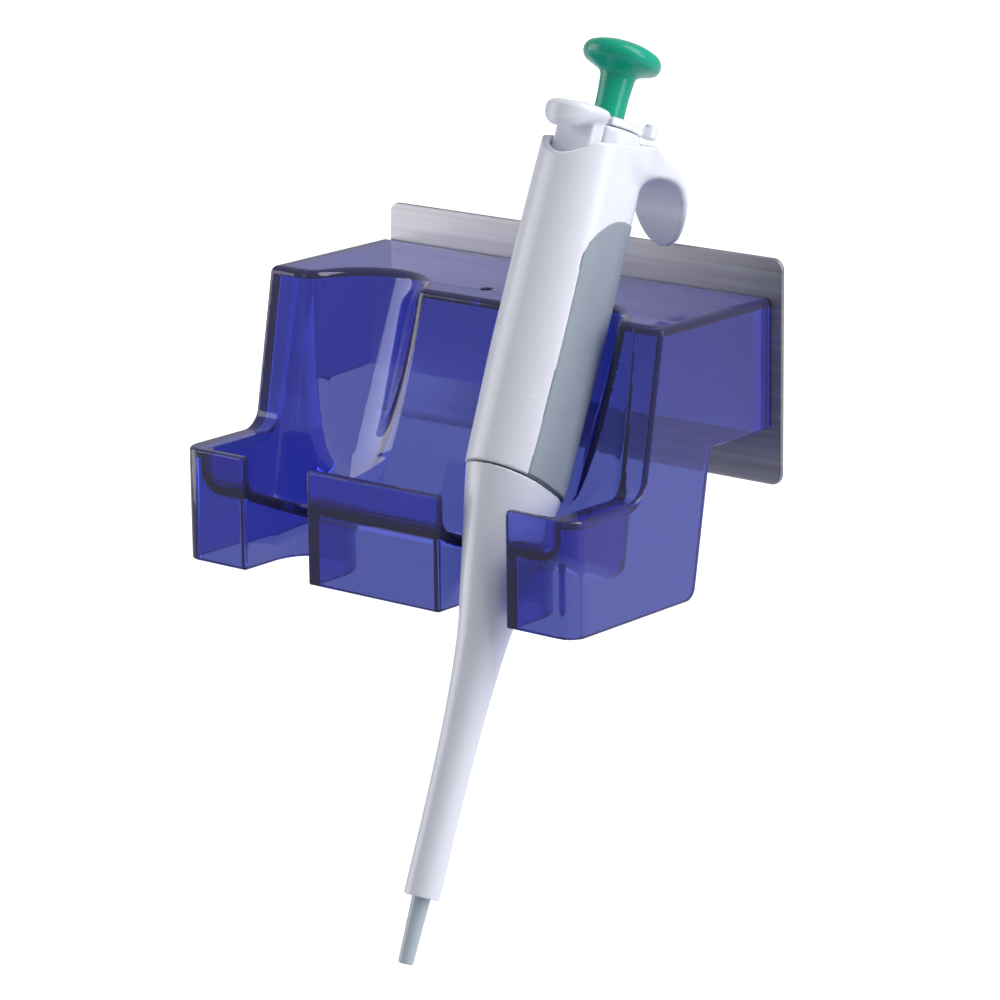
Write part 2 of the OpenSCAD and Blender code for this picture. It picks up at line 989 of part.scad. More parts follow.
module ejector_sleeve() {
    color(white)
        in_pipette()
            difference() {
                union() {
                    difference() {
                        sleeve_skin(0);
                        sleeve_skin(sleeve_t);
                    }
                    intersection() {
                        translate([-2 * push_r, -far, push_s - over])
                            cube([4 * push_r, far + push_r - push_y + over, 5 * over]);
                        sleeve_skin(pass_gap);
                    }
                }
                seam_side(true, -seam_gap);
                translate([0, -push_y, push_s])
                    cylinder(r = push_r, h = far);
            }
}

wall_tape();
steel_plate();
holder_shell();
magnet_bar();
magnets();
handle_body();
grip_insert();
top_cap();
volume_window();
lock_lever();
push_button();
plunger_rod();
volume_spindle();
counter_units();
counter_tens();
stop_nut();
return_spring();
spring_seat();
blowout_spring();
stop_washer();
piston();
piston_seal();
seal_ring();
seal_bush();
nozzle();
barrel_nut();
ejector_button();
ejector_rod();
ejector_spring();
ejector_sleeve();
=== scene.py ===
"""Looks of the pipette set: a hand pipette leaning in a clear blue two-place holder on a steel wall plate.

Shapes are worked out in millimetres, in the holder's or the pipette's own axes, and placed in the frame
in metres.
"""
import json
import math

import bpy
import numpy as np
from mathutils import Matrix, Vector


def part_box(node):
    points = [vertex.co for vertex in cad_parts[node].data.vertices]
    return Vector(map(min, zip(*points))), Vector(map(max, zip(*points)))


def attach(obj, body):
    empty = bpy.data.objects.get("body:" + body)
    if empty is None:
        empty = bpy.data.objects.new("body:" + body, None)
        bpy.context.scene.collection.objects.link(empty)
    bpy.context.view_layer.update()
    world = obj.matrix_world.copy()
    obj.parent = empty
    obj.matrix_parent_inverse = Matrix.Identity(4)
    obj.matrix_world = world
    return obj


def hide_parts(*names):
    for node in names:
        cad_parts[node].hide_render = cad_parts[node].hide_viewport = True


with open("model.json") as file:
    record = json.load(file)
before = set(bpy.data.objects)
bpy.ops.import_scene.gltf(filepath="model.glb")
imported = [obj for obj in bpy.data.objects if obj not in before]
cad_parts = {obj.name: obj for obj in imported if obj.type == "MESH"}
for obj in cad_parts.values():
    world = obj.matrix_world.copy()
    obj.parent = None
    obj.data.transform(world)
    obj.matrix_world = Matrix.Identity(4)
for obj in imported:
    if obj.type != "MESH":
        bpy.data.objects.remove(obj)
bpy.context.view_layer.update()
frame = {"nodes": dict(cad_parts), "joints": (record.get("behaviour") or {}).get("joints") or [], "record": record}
MM = 0.001
COARSE = 1.0


# Places and sizes that the frame gives

def span(node):
    """Lowest and highest corner of a CAD node in millimetres."""
    low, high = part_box(node)
    return np.array(low) / MM, np.array(high) / MM


holder_low, holder_high = span("holder_shell")
HALF_W = (holder_high[0] - holder_low[0]) / 2
HOLDER_H = holder_high[2] - holder_low[2]
BASE_DEPTH = holder_high[1] - holder_low[1]
HOLDER_AXES = Matrix.Translation((0, holder_high[1] * MM, holder_high[2] * MM)) @ Matrix.Scale(MM, 4)

setting = next(j for j in frame["joints"] if j["name"] == "volume_turn")
PIVOT_S = 190.0
axis_up = Vector(setting["axis"]).normalized()
axis_right = Vector((1, 0, 0))
axis_back = axis_up.cross(axis_right)
nozzle_end = Vector(setting["pos_m"]) - axis_up * PIVOT_S * MM
leaning = Matrix((axis_right, axis_back, axis_up)).transposed().to_4x4()
PIPETTE_AXES = Matrix.Translation(nozzle_end) @ leaning @ Matrix.Scale(MM, 4)
LEAN = math.atan2(axis_up.y, axis_up.z)
BAY_X = nozzle_end.x / MM
axis_at_top = nozzle_end + axis_up * ((holder_high[2] * MM - nozzle_end.z) / axis_up.z)
AXIS_DEPTH = holder_high[1] - axis_at_top.y / MM
SEAT_LENGTH = (axis_at_top - nozzle_end).length / MM


# Distance fields: negative inside, in millimetres

def cut_round(a, b, r):
    """What lies in both a and b, with the edge between them rounded."""
    return np.minimum(-r, np.maximum(a, b)) + np.hypot(np.maximum(r + a, 0), np.maximum(r + b, 0))


def join_round(a, b, r):
    """What lies in a or b, with a fillet between them."""
    return np.maximum(r, np.minimum(a, b)) - np.hypot(np.maximum(r - a, 0), np.maximum(r - b, 0))


def smooth(place, knots):
    """Value at each place of a smooth curve through knots of (place, value)."""
    t, v = np.array(knots, float).T
    slope = np.gradient(v, t)
    i = np.clip(np.searchsorted(t, place) - 1, 0, len(t) - 2)
    step = t[i + 1] - t[i]
    u = np.clip((place - t[i]) / step, 0, 1)
    rise = v[i + 1] - v[i]
    c1 = slope[i] * step
    c2 = 3 * rise - (2 * slope[i] + slope[i + 1]) * step
    c3 = (slope[i] + slope[i + 1]) * step - 2 * rise
    return v[i] + u * (c1 + u * (c2 + u * c3))


CORNERS = np.array([(i, j, k) for i in (0, 1) for j in (0, 1) for k in (0, 1)])
EDGES = [(a, b) for a in range(8) for b in range(a + 1, 8) if np.abs(CORNERS[a] - CORNERS[b]).sum() == 1]
AROUND_EDGE = ((1, 1), (0, 1), (0, 0), (1, 0))
SLAB, PULLS, LEAST_SLOPE = 12, 4, 0.2


def gradient(field, p, h):
    """Slope of the field at points p, from steps of h to either side."""
    steps = np.eye(3) * h
    return np.stack([(field(*(p + d).T) - field(*(p - d).T)) / (2 * h) for d in steps], axis=1)


def surface(field, low, high, step):
    """Points, quads and normals of the field's zero surface inside a box."""
    grid = [np.arange(a - 1.5 * step, b + 2.5 * step, step) for a, b in zip(low, high)]
    x, y, z = grid[0][:, None, None], grid[1][None, :, None], grid[2][None, None, :]
    values = np.empty([len(g) for g in grid], np.float32)
    for i in range(0, len(x), SLAB):
        values[i:i + SLAB] = field(x[i:i + SLAB], y, z)
    inside = values < 0
    nx, ny, nz = np.array(inside.shape) - 1
    count = sum(inside[i:i + nx, j:j + ny, k:k + nz].astype(np.int8) for i, j, k in CORNERS)
    active = (count > 0) & (count < 8)
    cells = np.argwhere(active)
    index = np.full(active.shape, -1, np.int64)
    index[active] = np.arange(len(cells))
    at_corner = [values[tuple((cells + c).T)] for c in CORNERS]
    total = np.zeros((len(cells), 3))
    hits = np.zeros(len(cells))
    for a, b in EDGES:
        cross = (at_corner[a] < 0) != (at_corner[b] < 0)
        t = at_corner[a][cross] / (at_corner[a][cross] - at_corner[b][cross])
        total[cross] += CORNERS[a] + t[:, None] * (CORNERS[b] - CORNERS[a])
        hits += cross
    points = (cells + total / hits[:, None]) * step + [g[0] for g in grid]
    for _ in range(PULLS):
        slope = gradient(field, points, step / 50)
        push = field(*points.T) / np.maximum((slope ** 2).sum(axis=1), LEAST_SLOPE)
        points -= np.clip(push, -step / 2, step / 2)[:, None] * slope
    normals = gradient(field, points, step / 12)
    normals /= np.maximum(np.linalg.norm(normals, axis=1), 1e-6)[:, None]
    quads = []
    for axis in range(3):
        ahead = np.roll((1, 0, 0), axis)
        u, v = np.roll((0, 1, 0), axis), np.roll((0, 0, 1), axis)
        a = inside[tuple(slice(0, -1) if d else slice(1, -1) for d in ahead)]
        b = inside[tuple(slice(1, None) if d else slice(1, -1) for d in ahead)]
        edge = np.argwhere(a != b) + (1 - ahead)
        around = [index[tuple((edge - du * u - dv * v).T)] for du, dv in AROUND_EDGE]
        quad = np.stack(around, axis=1)
        outward = inside[tuple(edge.T)]
        quad[~outward] = quad[~outward][:, ::-1]
        quads.append(quad)
    return points, np.concatenate(quads), normals


# Pieces

looks = {}
SHARP_ANGLE = math.radians(32)


def piece(name, points, faces, axes, body, node, slot_name, normals=None):
    """A mesh piece that rides on a body and stands for a CAD node."""
    mesh = bpy.data.meshes.new(name)
    mesh.from_pydata([list(p) for p in points], [], [list(f) for f in faces])
    mesh.transform(axes)
    mesh.shade_smooth()
    if normals is None:
        mesh.set_sharp_from_angle(angle=SHARP_ANGLE)
    else:
        turn = axes.to_3x3().normalized()
        mesh.normals_split_custom_set_from_vertices([turn @ Vector(n) for n in normals])
    mesh.materials.append(looks[slot_name])
    obj = bpy.data.objects.new(name, mesh)
    bpy.context.scene.collection.objects.link(obj)
    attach(obj, body)
    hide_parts(node)


def moulded(name, field, low, high, step, axes, body, node, slot_name):
    """A piece whose surface is the field's zero surface inside a box."""
    points, quads, normals = surface(field, low, high, step * COARSE)
    piece(name, points, quads, axes, body, node, slot_name, normals)


def lathe(profile, turns=96):
    """Points and faces of a closed profile of (radius, height) turned about the axis.

    A radius of 0 is a point on the axis.
    """
    points, rows = [], []
    for r, z in profile:
        if r == 0:
            rows.append([len(points)] * turns)
            points.append((0, 0, z))
        else:
            rows.append(list(range(len(points), len(points) + turns)))
            points += [(r * math.cos(a), r * math.sin(a), z) for a in np.arange(turns) * 2 * math.pi / turns]
    faces = []
    closed = profile[0][0] > 0
    for i in range(len(rows) if closed else len(rows) - 1):
        low, high = rows[i], rows[(i + 1) % len(rows)]
        for k in range(turns):
            m = (k + 1) % turns
            faces.append(list(dict.fromkeys([low[k], low[m], high[m], high[k]])))
    return points, faces


def arc(centre, r, start, end, n):
    """Points of an arc from start to end, in degrees, in n steps."""
    return [(centre[0] + r * math.cos(math.radians(a)), centre[1] + r * math.sin(math.radians(a)))
            for a in np.linspace(start, end, n + 1)]


# Materials

CLOUD_SIZE = 12


def material(name, colour, rough, spread, rough_spread, grain, depth, stretch=(1, 1, 1), **sockets):
    """Principled material with a little unevenness of colour and gloss and a fine grain."""
    mat = bpy.data.materials.new(name)
    mat.use_nodes = True
    nodes, links = mat.node_tree.nodes, mat.node_tree.links
    shader = nodes["Principled BSDF"]
    place = nodes.new("ShaderNodeTexCoord")
    mapping = nodes.new("ShaderNodeMapping")
    mapping.inputs["Scale"].default_value = stretch
    links.new(place.outputs["Object"], mapping.inputs["Vector"])
    cloud = nodes.new("ShaderNodeTexNoise")
    cloud.inputs["Scale"].default_value = grain / CLOUD_SIZE
    cloud.inputs["Detail"].default_value = 4
    links.new(mapping.outputs["Vector"], cloud.inputs["Vector"])
    tint = nodes.new("ShaderNodeValToRGB")
    tint.color_ramp.elements[0].position = 0.3
    tint.color_ramp.elements[1].position = 0.7
    tint.color_ramp.elements[0].color = (*[c * (1 - spread) for c in colour], 1)
    tint.color_ramp.elements[1].color = (*[min(1, c * (1 + spread)) for c in colour], 1)
    links.new(cloud.outputs["Fac"], tint.inputs["Fac"])
    links.new(tint.outputs["Color"], shader.inputs["Base Color"])
    gloss = nodes.new("ShaderNodeMapRange")
    gloss.inputs["To Min"].default_value = rough - rough_spread
    gloss.inputs["To Max"].default_value = rough + rough_spread
    links.new(cloud.outputs["Fac"], gloss.inputs["Value"])
    links.new(gloss.outputs["Result"], shader.inputs["Roughness"])
    fine = nodes.new("ShaderNodeTexNoise")
    fine.inputs["Scale"].default_value = grain
    fine.inputs["Detail"].default_value = 3
    links.new(mapping.outputs["Vector"], fine.inputs["Vector"])
    bump = nodes.new("ShaderNodeBump")
    bump.inputs["Strength"].default_value = 0.5
    bump.inputs["Distance"].default_value = depth
    links.new(fine.outputs["Fac"], bump.inputs["Height"])
    links.new(bump.outputs["Normal"], shader.inputs["Normal"])
    for socket, value in sockets.items():
        shader.inputs[socket.replace("_", " ")].default_value = value
    looks[name] = mat


def clear(name, colour, density):
    """Gives a see-through material its body colour by depth."""
    nodes, links = looks[name].node_tree.nodes, looks[name].node_tree.links
    body = nodes.new("ShaderNodeVolumeAbsorption")
    body.inputs["Color"].default_value = (*colour, 1)
    body.inputs["Density"].default_value = density
    links.new(body.outputs["Volume"], nodes["Material Output"].inputs["Volume"])


material("clear_blue", (0.5, 0.42, 1.0), 0.04, 0.02, 0.02, 60, 0.000004, Transmission_Weight=0.93, IOR=1.49)
clear("clear_blue", (0.0, 0.38, 0.84), 410.0)
material("brushed_steel", (0.36, 0.355, 0.375), 0.40, 0.13, 0.05, 9000, 0.00001, stretch=(0.02, 1, 1),
         Metallic=1.0, Anisotropic=0.5)
material("bright_steel", (0.70, 0.71, 0.72), 0.18, 0.03, 0.05, 700, 0.000005, Metallic=1.0)
material("magnet_coat", (0.80, 0.80, 0.80), 0.4, 0.03, 0.05, 500, 0.00001)
material("foam_tape", (0.03, 0.03, 0.032), 0.8, 0.2, 0.08, 1400, 0.0003)
material("white_plastic", (0.80, 0.82, 0.88), 0.26, 0.01, 0.05, 700, 0.000008, IOR=1.5)
material("grey_grip", (0.29, 0.335, 0.39), 0.5, 0.03, 0.06, 2400, 0.00003)
material("green_plastic", (0.003, 0.37, 0.23), 0.24, 0.03, 0.04, 600, 0.00001, Specular_IOR_Level=0.35)
material("pale_plastic", (0.60, 0.69, 0.75), 0.3, 0.03, 0.05, 700, 0.00001, Transmission_Weight=0.25)
material("clear_lens", (0.95, 0.97, 1), 0.05, 0.01, 0.02, 300, 0.000003, Transmission_Weight=1.0, IOR=1.49)
material("black_rubber", (0.015, 0.015, 0.016), 0.5, 0.1, 0.08, 2000, 0.00003)
material("seal_plastic", (0.8, 0.8, 0.78), 0.35, 0.03, 0.05, 800, 0.00001)
material("grey_plastic", (0.22, 0.24, 0.26), 0.4, 0.05, 0.06, 1200, 0.00002)
for part in frame["record"]["subparts"]:
    obj = frame["nodes"][part["node"]]
    name = part["material_slot"]
    if obj is not None and name in looks:
        obj.data.materials.clear()
        obj.data.materials.append(looks[name])


# Holder: back and top at zero, front towards -Y

RIM_DROP, RIM_W, WALL = 42.0, 7.5, 2.6
TOP_DEPTH, PILLAR_LEAN, FACE_LEAN, FACE_INSET = 44.9, math.radians(10.3), math.radians(8.7), 0.3
STEP_DEPTH, STEP_DROP, BACK_LEAN = 25.0, 34.0, math.radians(10.3)
CORNER_R, FLOOR_DROP = 5.0, 51.0
SLOT_R, SLOT_BACK = 10.85, 57.5
HOLE_R, HOLE_Y = 1.5, 34.0
RECESS_R, RECESS_SHIFT, RECESS_LOW_R, RECESS_LOW_S, SEAM_S = 18.4, 5.7, 16.45, 109.3, 122.3
EDGE_R, FILLET_R, SOFT_R, TOP_R, SLOT_EDGE_R, LIP_R, TRAY_R, RIM_R = 1.0, 4.5, 2.6, 1.8, 0.7, 0.6, 4.0, 0.35
RECESS_FLOOR_R, RECESS_BACK, RECESS_MOST_TAPER, TRAY_FLOOR_R, TRAY_FRONT_R = 3.0, 2.0, 1.5, 2.0, 2.5
STEP_EDGE_R, FOOT_R, STEP_FILLET_R, HOLE_EDGE_R = 0.6, 3.0, 1.5, 0.3
HOLDER_STEP = 0.5
tan_lean, sin_lean, cos_lean = math.tan(LEAN), math.sin(LEAN), math.cos(LEAN)


def recess_room(x, y, z):
    """Hollow that takes a leaning handle, around the nearer place."""
    dx = np.abs(x) - BAY_X
    back = y + AXIS_DEPTH
    s = SEAT_LENGTH + back * sin_lean + z * cos_lean
    across = back * cos_lean - z * sin_lean + RECESS_SHIFT
    taper = np.clip((SEAM_S + 1 - s) / (SEAM_S + 1 - RECESS_LOW_S), 0, RECESS_MOST_TAPER)
    r = RECESS_R - (RECESS_R - RECESS_LOW_R) * taper
    hollow = cut_round(np.hypot(dx, across) - r, RECESS_LOW_S - s, RECESS_FLOOR_R)
    return np.maximum(hollow, -across - RECESS_BACK)


def tray_room(x, y, z):
    """Room before the face and over the sloping floor, inside the rims."""
    face = (y + TOP_DEPTH - FACE_INSET - math.tan(FACE_LEAN) * z) * math.cos(FACE_LEAN)
    front = -BASE_DEPTH + WALL
    floor = (-FLOOR_DROP - tan_lean * (y - front) - z) * cos_lean
    room = cut_round(face, floor, TRAY_FLOOR_R)
    room = cut_round(room, np.abs(x) - (HALF_W - RIM_W), TRAY_R)
    return cut_round(room, front - y, TRAY_FRONT_R)


def slot_room(x, y):
    """The two U slots for the lower tubes, open to the front."""
    dx = np.abs(np.abs(x) - BAY_X)
    along = np.maximum(y + SLOT_BACK + SLOT_R, 0)
    return np.hypot(dx, along) - SLOT_R


def holder_skin(x, y, z):
    """Outer skin of the moulding; it has no back and no underside of its own."""
    pillar = (-TOP_DEPTH + math.tan(PILLAR_LEAN) * z - y) * math.cos(PILLAR_LEAN)
    profile = join_round(pillar, z + RIM_DROP, FILLET_R)
    qx, qy = np.abs(x) - (HALF_W - CORNER_R), CORNER_R - BASE_DEPTH - y
    plan = np.hypot(np.maximum(qx, 0), np.maximum(qy, 0)) + np.minimum(np.maximum(qx, qy), 0) - CORNER_R
    skin = cut_round(profile, plan, EDGE_R)
    skin = cut_round(skin, -tray_room(x, y, z), LIP_R)
    skin = cut_round(skin, -recess_room(x, y, z), SOFT_R)
    skin = cut_round(skin, z, TOP_R)
    return cut_round(skin, -slot_room(x, y), SLOT_EDGE_R)


def holder_shell(x, y, z):
    """The moulding's wall, ended at the stepped back and the underside."""
    skin = holder_skin(x, y, z)
    shell = np.maximum(skin, -skin - WALL)
    back = (y + STEP_DEPTH - (z + STEP_DROP) * math.tan(BACK_LEAN)) * math.cos(BACK_LEAN)
    upper = cut_round(y, -STEP_DROP - z, STEP_EDGE_R)
    lower = cut_round(back, -HOLDER_H - z, FOOT_R)
    shell = cut_round(shell, join_round(upper, lower, STEP_FILLET_R), RIM_R)
    return cut_round(shell, HOLE_R - np.hypot(x, y + HOLE_Y), HOLE_EDGE_R)


moulded("holder", holder_shell, (-HALF_W, -BASE_DEPTH, -HOLDER_H), (HALF_W, 0, 0), HOLDER_STEP, HOLDER_AXES,
        "holder", "holder_shell", "clear_blue")


# Pipette: nozzle end at zero, front towards -Y

LOBE = 5.0
HANDLE_R = [(111, 11.3), (122.3, 11.6), (137, 11.9), (152, 12.2), (175, 12.2), (197, 12.0), (220, 11.5)]
SEAM_SLANT, RIM_S, RIM_SLANT, DIP_R, DIP_DEPTH = math.radians(11.9), 211.3, math.radians(11.6), 12.0, 3.4
CHAMBER_R, CHAMBER_S, DECK_S, DECK_T = 9.6, 132.06, 201.0, 4.0
HUB_R, HUB_BORE, HUB_S = 4.9, 4.0, 106.06
STEM_HOLE, PUSH_Y, PUSH_R = 4.3, 10.5, 1.5
POST_Y, POST_FRONT, POST_HALF, POST_S = 7.8, 12.4, 6.0, 200.0
GRIP_FRONT, GRIP_TOP, GRIP_ROUND, GRIP_BED, GRIP_PROUD, GRIP_LAP = 10.9, 192.0, 13.0, 1.0, 0.15, 0.4
UNITS_S, DRUM_T, DRUM_R = 172.0, 7.0, 8.0
# middle line of the hook as (back, height, half thickness, half width)
HOOK = [(4, 209.0, 3.6, 11.0), (12, 209.0, 3.6, 9.8), (16, 209.1, 3.0, 8.8), (20.1, 208.9, 2.3, 8.6),
        (24.1, 207.9, 1.75, 8.7), (27.1, 205.8, 1.4, 8.8), (29.3, 202.8, 1.1, 8.7), (30.9, 199.2, 0.95, 8.1),
        (32.7, 196.0, 0.9, 6.5), (34.0, 193.9, 0.85, 4.7), (34.6, 193.0, 0.8, 2.8)]
HOOK_POINTS, HOOK_EDGE_R, HOOK_ROOT_R, FAR = 49, 1.4, 5.0, 1e6
RIM_EDGE_R, SEAM_EDGE_R, DECK_EDGE_R, RIM_SPARE, BED_PLAY, ROD_PLAY = 0.6, 0.4, 0.4, 4, 0.05, 0.3
POST_PLAY, WINDOW_PLAY, DRUM_PLAY, WINDOW_REACH, DRUM_GAP, THROUGH = 0.4, 0.1, 0.4, 20, 1, 1
GRIP_EDGE_R, GRIP_SEAM_R, GRIP_SEAM_GAP = 0.5, 0.3, 0.2
HANDLE_STEP, GRIP_STEP = 0.5, 0.4


def stadium(x, y, r, lobe):
    """Section of the pipette: a circle drawn out to the front by lobe."""
    return np.hypot(x, y - np.clip(y, -lobe, 0)) - r


def handle_skin(x, y, s):
    """Outer skin of the handle without rim, seam and hook."""
    return stadium(x, y, smooth(s, HANDLE_R), LOBE)


def over_seam(y, s, gap=0.0):
    """Negative over the slanted seam."""
    return -(y * math.sin(SEAM_SLANT) + (s - SEAM_S - gap) * math.cos(SEAM_SLANT))


def over_rim(y, s, lift=0.0):
    """Height over the slanted rim, or over that plane lifted."""
    return (s - RIM_S - lift) * math.cos(RIM_SLANT) - y * math.sin(RIM_SLANT)


def dip(x, y, s, lift=0.0):
    """Negative in the round dip that runs forward along the rim."""
    return np.hypot(x, over_rim(y, s, lift) - DIP_R + DIP_DEPTH) - DIP_R


def between(v, low, high):
    """Negative where v lies between low and high."""
    return np.maximum(low - v, v - high)


hook_way = np.array(HOOK, float)
hook_u = np.arange(len(hook_way))
hook_places = np.linspace(0, len(hook_way) - 1, HOOK_POINTS)
hook_line = np.stack([smooth(hook_places, list(zip(hook_u, c))) for c in hook_way.T], axis=1)


def hook(x, y, s):
    """Tongue of the finger hook: the nearest point of its middle line sets its width and thickness."""
    best = np.full(np.broadcast(y, s).shape, FAR)
    thick, wide = np.zeros_like(best), np.zeros_like(best)
    for a, b in zip(hook_line[:-1], hook_line[1:]):
        d = b[:2] - a[:2]
        t = np.clip(((y - a[0]) * d[0] + (s - a[1]) * d[1]) / (d @ d), 0, 1)
        away = np.hypot(y - a[0] - t * d[0], s - a[1] - t * d[1])
        near = away < best
        best = np.where(near, away, best)
        thick = np.where(near, a[2] + t * (b[2] - a[2]), thick)
        wide = np.where(near, a[3] + t * (b[3] - a[3]), wide)
    return cut_round(np.abs(x) - wide, best - thick, HOOK_EDGE_R)


def window_room(x, y, s):
    """Opening for the counter's window, on the left side."""
    side = between(x, -WINDOW_REACH, -DRUM_R - DRUM_PLAY + WINDOW_PLAY)
    across = between(y, -LOBE - WINDOW_PLAY, WINDOW_PLAY)
    along = between(s, UNITS_S - WINDOW_PLAY, UNITS_S + 2 * DRUM_T + DRUM_GAP + WINDOW_PLAY)
    return np.maximum(side, np.maximum(across, along))


def grip_side(y, s, gap=0.0):
    """Negative where the grip covers the handle, seen from the side."""
    return cut_round(-GRIP_FRONT - gap - y, s - GRIP_TOP - gap, GRIP_ROUND)


def handle(x, y, s):
    """Handle with its hook, the bed of the grip, the rooms inside and the openings of the deck."""
    skin = handle_skin(x, y, s)
    body = join_round(np.maximum(skin, s - RIM_S - RIM_SPARE), hook(x, y, s), HOOK_ROOT_R)
    body = cut_round(body, over_rim(y, s), RIM_EDGE_R)
    body = cut_round(body, -np.maximum(dip(x, y, s), y), RIM_EDGE_R)
    body = cut_round(body, over_seam(y, s), SEAM_EDGE_R)
    bed = np.maximum(grip_side(y, s, -GRIP_LAP), -(skin + GRIP_BED + BED_PLAY))
    body = np.maximum(body, -bed)
    hub = np.maximum(np.hypot(x, y) - HUB_R, between(s, HUB_S, CHAMBER_S))
    body = np.minimum(body, hub)
    room = stadium(x, y, CHAMBER_R, LOBE)
    body = np.maximum(body, -np.maximum(room, between(s, CHAMBER_S, DECK_S)))
    body = cut_round(body, -np.maximum(room, DECK_S + DECK_T - s), DECK_EDGE_R)
    below = s - CHAMBER_S - THROUGH
    body = np.maximum(body, -np.maximum(np.hypot(x, y) - HUB_BORE, below))
    body = np.maximum(body, -np.maximum(np.hypot(x, y + PUSH_Y) - PUSH_R - ROD_PLAY, below))
    above = DECK_S - THROUGH - s
    body = np.maximum(body, -np.maximum(np.hypot(x, y) - STEM_HOLE, above))
    post_room = between(y, -POST_FRONT - POST_PLAY, -POST_Y + POST_PLAY)
    slot = np.maximum(np.abs(x) - POST_HALF - POST_PLAY, post_room)
    body = np.maximum(body, -np.maximum(slot, above))
    return np.maximum(body, -window_room(x, y, s))


def grip(x, y, s):
    """Grip that lies in its bed, a little proud of the handle."""
    skin = handle_skin(x, y, s)
    body = cut_round(skin - GRIP_PROUD, grip_side(y, s), GRIP_EDGE_R)
    body = np.maximum(body, -(skin + GRIP_BED))
    body = cut_round(body, over_seam(y, s, GRIP_SEAM_GAP), GRIP_SEAM_R)
    return np.maximum(body, -window_room(x, y, s))


moulded("handle", handle, (-13, -18, 105), (13, 38, 215), HANDLE_STEP, PIPETTE_AXES,
        "pipette", "handle_body", "white_plastic")
moulded("grip", grip, (-13, -12, 118), (13, 14, 193), GRIP_STEP, PIPETTE_AXES,
        "pipette", "grip_insert", "grey_grip")

# lower tube that pushes the tip off
SLEEVE_R = [(17, 4.6), (43, 4.65), (68, 5.35), (85, 6.55), (96, 7.9), (107.6, 9.35), (118.8, 10.75),
            (128, 11.85)]
SLEEVE_LOBE = [(17, 0), (60, 0), (85, 0.8), (96, 1.9), (107.6, 3.1), (118.8, 4.25), (128, 5.15)]
SLEEVE_S, SLEEVE_T, SEAM_GAP, SLEEVE_SEAM_R, SLEEVE_END_R, SLEEVE_STEP = 17.0, 1.15, 0.5, 0.3, 0.35, 0.5
BLOCK_HALF, BLOCK_FRONT, BLOCK_BACK, BLOCK_S, BLOCK_TOP, BLOCK_INSET, SOCKET_S = 3, -20, -8, 113, 118, 0.4, 114


def sleeve(x, y, s):
    """Lower tube, with the block inside that takes the ejector's rod."""
    skin = stadium(x, y, smooth(s, SLEEVE_R), smooth(s, SLEEVE_LOBE))
    body = np.maximum(skin, -skin - SLEEVE_T)
    along = np.maximum(between(y, BLOCK_FRONT, BLOCK_BACK), between(s, BLOCK_S, BLOCK_TOP))
    block = np.maximum(between(x, -BLOCK_HALF, BLOCK_HALF), along)
    body = np.minimum(body, np.maximum(block, skin + BLOCK_INSET))
    body = np.maximum(body, -np.maximum(np.hypot(x, y + PUSH_Y) - PUSH_R, SOCKET_S - s))
    body = cut_round(body, -over_seam(y, s, -SEAM_GAP), SLEEVE_SEAM_R)
    return cut_round(body, SLEEVE_S - s, SLEEVE_END_R)


moulded("ejector_tube", sleeve, (-12, -18, 17), (12, 13, 127), SLEEVE_STEP, PIPETTE_AXES,
        "ejector", "ejector_sleeve", "white_plastic")

# thumb pad and its post
PAD_R, PAD_Y, PAD_TOP, EJECT, PAD_CROWN, PAD_EDGE_R, PAD_BACK_R = 8.4, 12.0, 217.5, 6.0, 0.003, 1.9, 0.5
POST_EDGE_R, POST_ROOT_R, POST_SUNK, POST_SOCKET, PAD_STEP = 0.9, 0.7, 2, 9, 0.33


def pad(x, y, s):
    """Slightly crowned pad whose underside follows the dip, on its flat post."""
    plan = np.hypot(x, y + PAD_Y) - PAD_R
    body = cut_round(plan, s - PAD_TOP + PAD_CROWN * (x ** 2 + (y + PAD_Y) ** 2), PAD_EDGE_R)
    body = cut_round(body, dip(x, y, s, EJECT + SEAM_GAP), PAD_EDGE_R)
    post = cut_round(np.abs(x) - POST_HALF, -POST_FRONT - y, POST_EDGE_R)
    post = np.maximum(post, between(s, POST_S, PAD_TOP - POST_SUNK))
    body = join_round(body, post, POST_ROOT_R)
    body = cut_round(body, y + POST_Y, PAD_BACK_R)
    return np.maximum(body, -np.maximum(np.hypot(x, y + PUSH_Y) - PUSH_R, s - POST_S - POST_SOCKET))


moulded("ejector_pad", pad, (-9, -20.5, 200), (9, -7.8, 218), PAD_STEP, PIPETTE_AXES,
        "ejector", "ejector_button", "white_plastic")

# cap over the setting, and the lock ring on it
CAP_S, CAP_TOP, CAP_R, CAP_FLAT, CAP_EDGE_R, CAP_FLAT_R, CAP_STEP = 205.0, 214.2, 9.4, 7.2, 1.2, 0.6, 0.4
LEVER_S, LEVER_T, LEVER_R, LEVER_NARROW, LEVER_HOLE = 214.5, 2.3, 8.8, 7.2, 5.3
LEVER_FROM, LEVER_TO, LEVER_TURN = math.radians(-46), math.radians(200), math.radians(38)
LEVER_EDGE_R, LEVER_TAPER, LEVER_END_R, LEVER_STEP = 0.6, 0.3, 0.8, 0.28
ARM_FROM, ARM_HALF, ARM_EDGE_R, ARM_ROOT_R = 6, 1.4, 0.5, 0.9
PEG_REACH, PEG_R, PEG_LOW, PEG_TOP, PEG_EDGE_R, PEG_ROOT_R = 11.3, 1.75, 214.2, 218.0, 0.6, 0.7


def cap(x, y, s):
    """Round cap with a flat front and a hole for the button's stem."""
    r = np.hypot(x, y)
    body = cut_round(r - CAP_R, s - CAP_TOP, CAP_EDGE_R)
    body = cut_round(body, -CAP_FLAT - y, CAP_FLAT_R)
    return np.maximum(body, np.maximum(STEM_HOLE - r, CAP_S - s))


